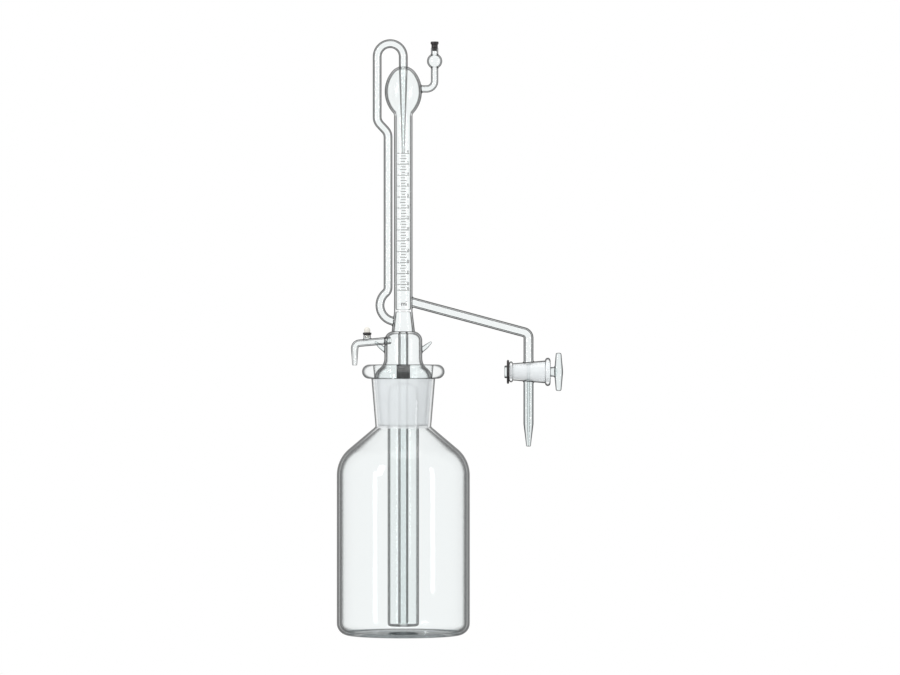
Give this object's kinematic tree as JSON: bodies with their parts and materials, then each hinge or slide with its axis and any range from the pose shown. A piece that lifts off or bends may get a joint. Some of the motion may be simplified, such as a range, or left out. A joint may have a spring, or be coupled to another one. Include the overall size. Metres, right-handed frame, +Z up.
{
  "type": "automatic zero burette",
  "caption": "Free-standing glass burette that sets its own zero: reservoir bottle, graduated tube with riser and overflow bulb, air nozzle, and a side arm with stopcock and jet.",
  "frame": {"origin": "centre of the ring that the bottle stands on, on the bench's surface", "axes": "+Z up along the axis of bottle and graduated tube, +X towards the delivery arm and its stopcock, -Y towards the front, where the scale is read"},
  "size_m": [0.2264, 0.133, 0.5958],
  "materials": {
    "clear_glass": "clear and smooth",
    "ground_glass": "finely ground, frosted",
    "black_rubber": "matte",
    "white_rubber": "matte"
  },
  "bodies": {
    "bottle": {"reservoir_bottle": "clear_glass"},
    "head": {"ground_cone": "ground_glass", "head_bell": "clear_glass", "left_hook": "clear_glass", "right_hook": "clear_glass", "lift_tube": "clear_glass", "coupling_sleeve": "black_rubber", "dip_tube": "clear_glass", "dip_jacket": "clear_glass", "head_stem": "clear_glass", "graduated_tube": "clear_glass", "overflow_bulb": "clear_glass", "riser_loop": "clear_glass", "riser_tube": "clear_glass", "siphon_bend": "clear_glass", "filling_jet": "clear_glass", "guard_arm": "clear_glass", "guard_bulb": "clear_glass", "air_nozzle": "clear_glass", "delivery_arm": "clear_glass", "stopcock_barrel": "clear_glass", "delivery_jet": "clear_glass"},
    "key": {"stopcock_key": "clear_glass", "retaining_washer": "black_rubber"},
    "stopper": {"vent_stopper": "black_rubber"},
    "cap": {"vent_cap": "white_rubber", "vent_ring": "black_rubber"}
  },
  "joints": [
    {"name": "head_lift", "type": "slide", "parent": "bottle", "child": "head", "axis": [0, 0, 1], "range_m": [0, 0.3]},
    {"name": "stopcock_turn", "type": "hinge", "parent": "head", "child": "key", "pos_m": [0.1252, 0, 0.26323], "axis": [1, 0, 0], "continuous": true},
    {"name": "stopper_pull", "type": "slide", "parent": "head", "child": "stopper", "axis": [0, 0, 1], "range_m": [0, 0.03]},
    {"name": "cap_pull", "type": "slide", "parent": "head", "child": "cap", "axis": [0, 0, 1], "range_m": [0, 0.03]}
  ]
}
